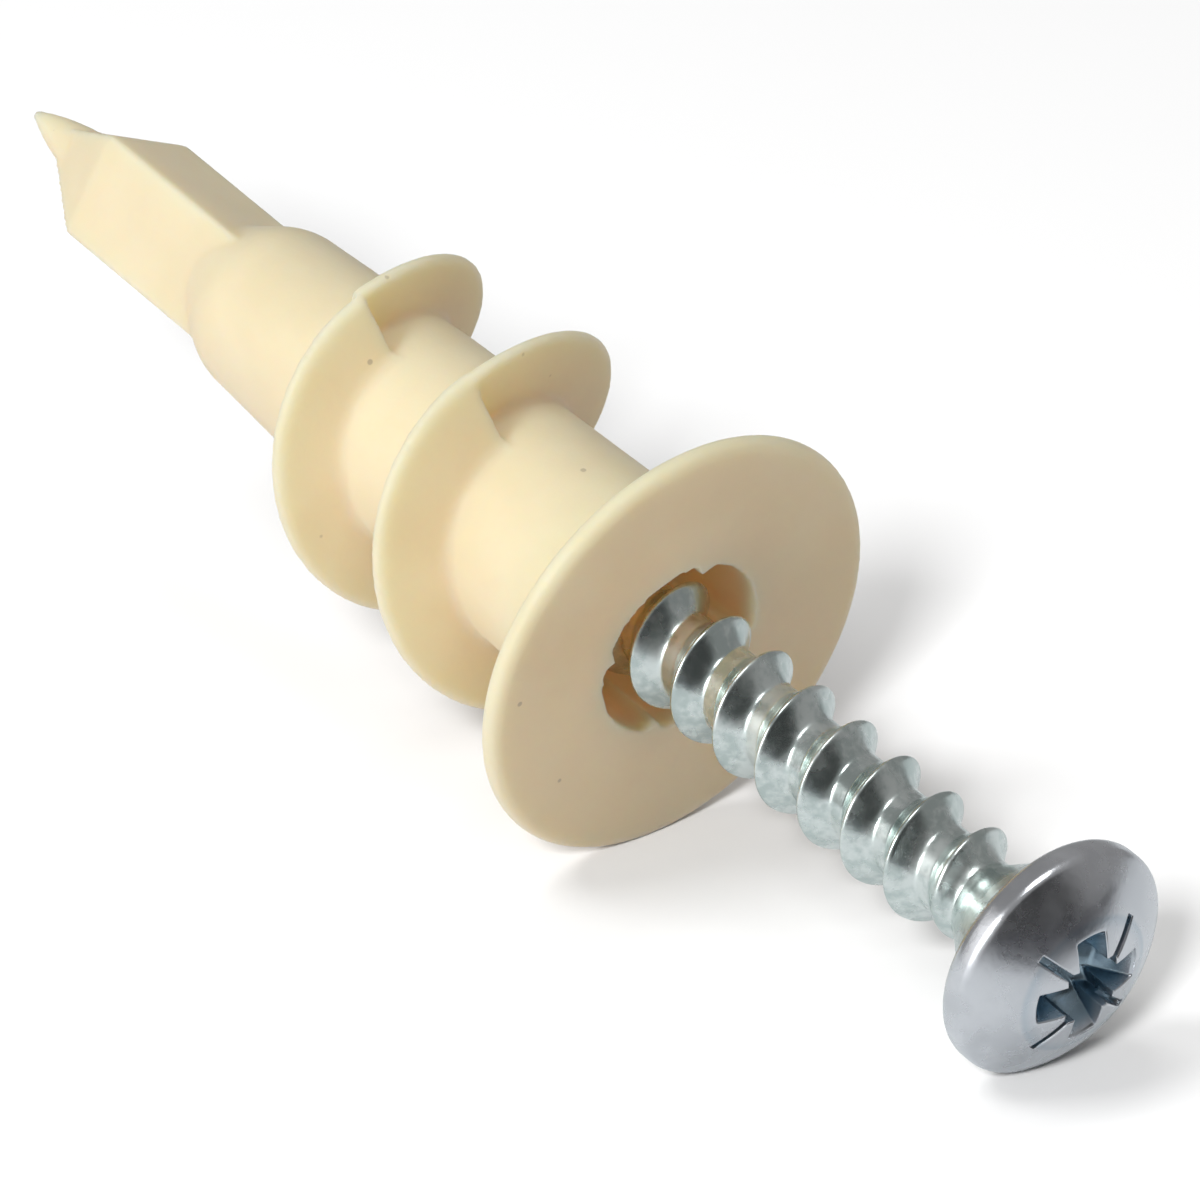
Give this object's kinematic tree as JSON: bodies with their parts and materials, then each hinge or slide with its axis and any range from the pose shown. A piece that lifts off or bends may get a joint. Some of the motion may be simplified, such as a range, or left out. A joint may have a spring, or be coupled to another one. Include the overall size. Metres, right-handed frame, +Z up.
{
  "type": "self-drilling plasterboard anchor",
  "caption": "Self-drilling moulded nylon plasterboard anchor with a coarse thread, a round flange and a cross-recessed steel screw started in its mouth.",
  "frame": {"origin": "on the ground under the middle of the object's length, midway across its width", "axes": "+Z up, +X along the anchor's length towards the screw head, which leans down to the ground"},
  "size_m": [0.0532, 0.015, 0.0155],
  "materials": {
    "moulded_nylon": "natural ivory nylon, lightly translucent, with a soft moulded sheen",
    "bright_zinc": "bright zinc plating on cold-formed steel, faintly blue and a little uneven"
  },
  "bodies": {
    "root": {"anchor": "moulded_nylon", "screw": "bright_zinc"}
  },
  "joints": []
}
